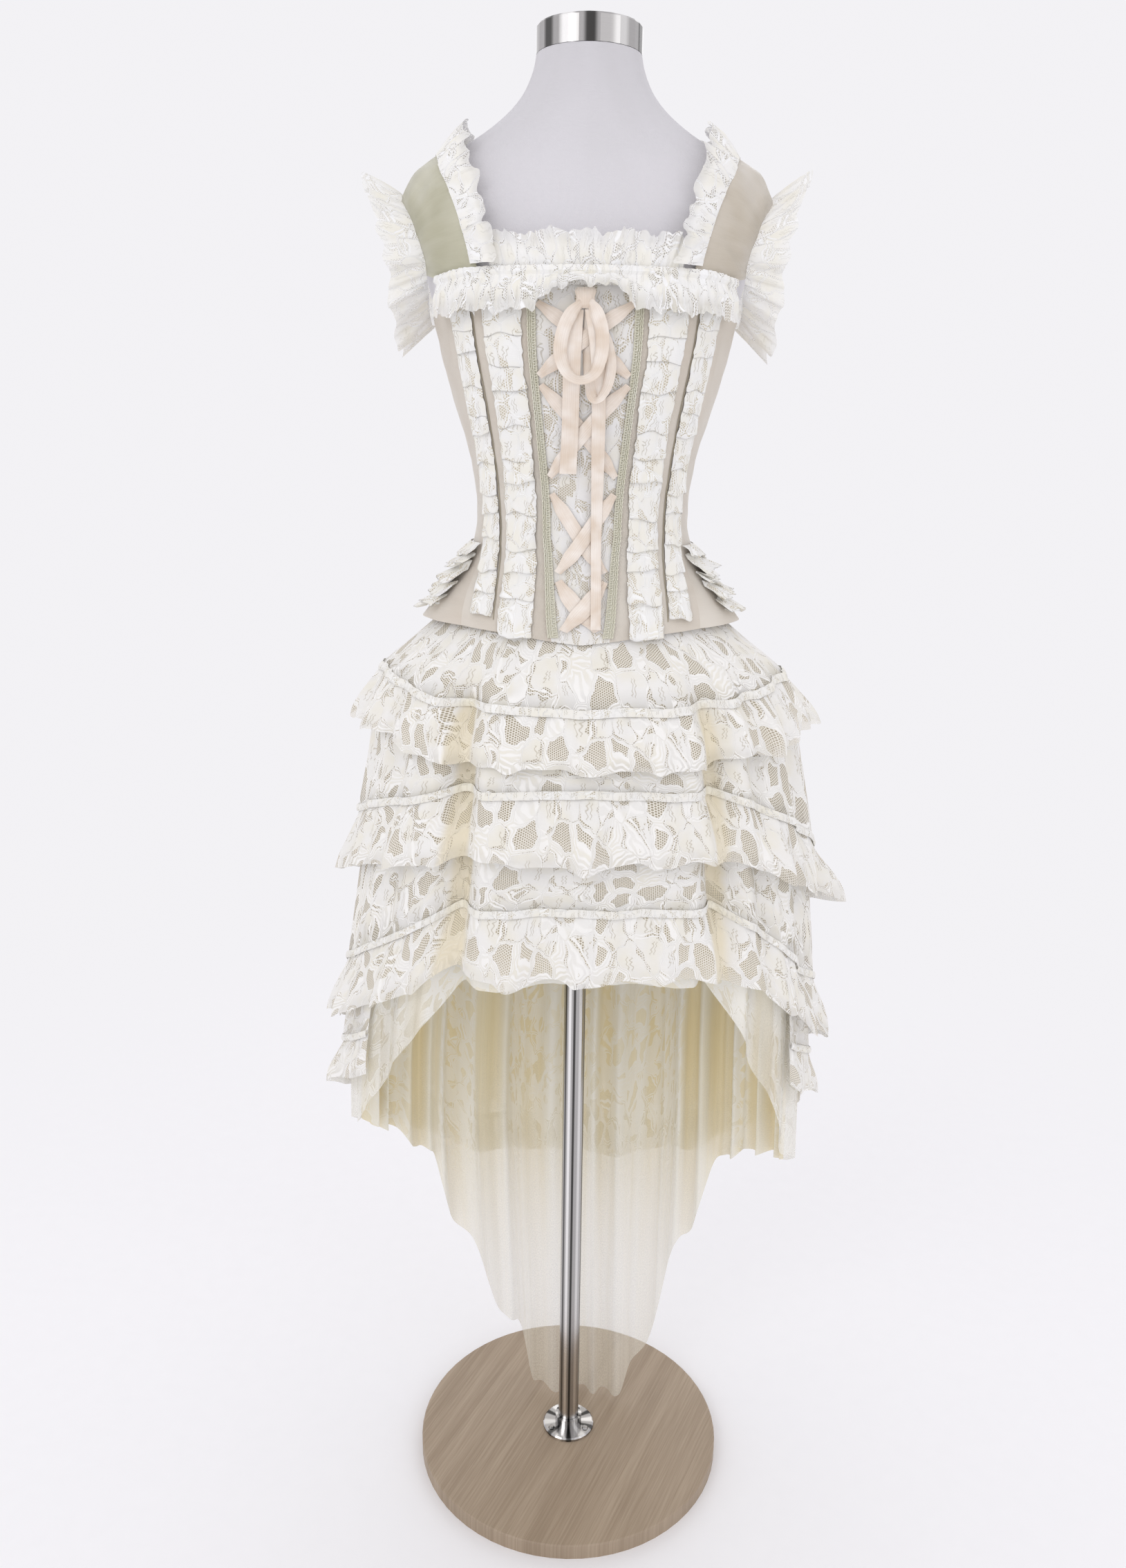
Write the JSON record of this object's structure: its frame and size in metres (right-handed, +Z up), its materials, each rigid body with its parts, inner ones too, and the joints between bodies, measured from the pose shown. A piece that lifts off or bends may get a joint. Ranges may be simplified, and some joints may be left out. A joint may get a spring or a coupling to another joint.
{
  "type": "corset dress on a dress form",
  "caption": "Laced corset dress with tiered lace skirt and train, worn by a limbless torso form that slides on a round-footed stand.",
  "frame": {"origin": "centre of the round foot's underside, on the floor", "axes": "+Z up along the pole, the front of the dress looks along -Y, +X is the viewer's right"},
  "size_m": [0.5842, 0.3747, 1.6084],
  "materials": {
    "foot_wood": "taupe wood laminate, satin",
    "brushed_steel": "brushed",
    "black_plastic": "matt black",
    "form_jersey": "fine matt jersey",
    "bodice_satin": "champagne satin, soft sheen",
    "strap_taffeta": "creased champagne taffeta",
    "white_lace": "white raschel lace, matt",
    "cream_tulle": "cream tulle lining",
    "satin_ribbon": "blush satin ribbon, glossy",
    "loop_braid": "ivory loop braid"
  },
  "bodies": {
    "stand": {"base_disc": "foot_wood", "base_flange": "brushed_steel", "base_screw_1": "brushed_steel", "base_screw_2": "brushed_steel", "base_screw_3": "brushed_steel", "pole_lower": "brushed_steel", "clamp_knob": "black_plastic"},
    "form": {"armhole_ruffle_left": "white_lace", "armhole_ruffle_right": "white_lace", "back_panel": "white_lace", "bodice_back_left": "bodice_satin", "bodice_back_right": "bodice_satin", "bodice_centre_front": "white_lace", "bodice_mid_front_left": "bodice_satin", "bodice_mid_front_right": "bodice_satin", "bodice_side_back_left": "bodice_satin", "bodice_side_back_right": "bodice_satin", "bodice_side_front_left": "bodice_satin", "bodice_side_front_right": "bodice_satin", "bodice_side_left": "bodice_satin", "bodice_side_right": "bodice_satin", "bow_knot": "satin_ribbon", "bow_loop_left": "satin_ribbon", "bow_loop_right": "satin_ribbon", "bow_tail_left": "satin_ribbon", "bow_tail_right": "satin_ribbon", "braid_left": "loop_braid", "braid_right": "loop_braid", "form_torso": "form_jersey", "front_strip_inner_left": "white_lace", "front_strip_inner_right": "white_lace", "front_strip_outer_left": "white_lace", "front_strip_outer_right": "white_lace", "hip_ruffle_left": "white_lace", "hip_ruffle_right": "white_lace", "lacing_1_over": "satin_ribbon", "lacing_1_under": "satin_ribbon", "lacing_2_over": "satin_ribbon", "lacing_2_under": "satin_ribbon", "lacing_3_over": "satin_ribbon", "lacing_3_under": "satin_ribbon", "lacing_4_over": "satin_ribbon", "lacing_4_under": "satin_ribbon", "lining_front": "cream_tulle", "lining_train": "cream_tulle", "neck_cap": "brushed_steel", "neck_ruffle_front": "white_lace", "neck_ruffle_left": "white_lace", "neck_ruffle_right": "white_lace", "pole_upper": "brushed_steel", "strap_left": "strap_taffeta", "strap_right": "strap_taffeta", "tier_1_back": "white_lace", "tier_1_front": "white_lace", "tier_2_back": "white_lace", "tier_2_front": "white_lace", "tier_3_back": "white_lace", "tier_3_front": "white_lace", "top_ruffle": "white_lace"}
  },
  "joints": [
    {"name": "height_slide", "type": "slide", "parent": "stand", "child": "form", "axis": [0, 0, 1], "range_m": [0, 0.12]}
  ]
}
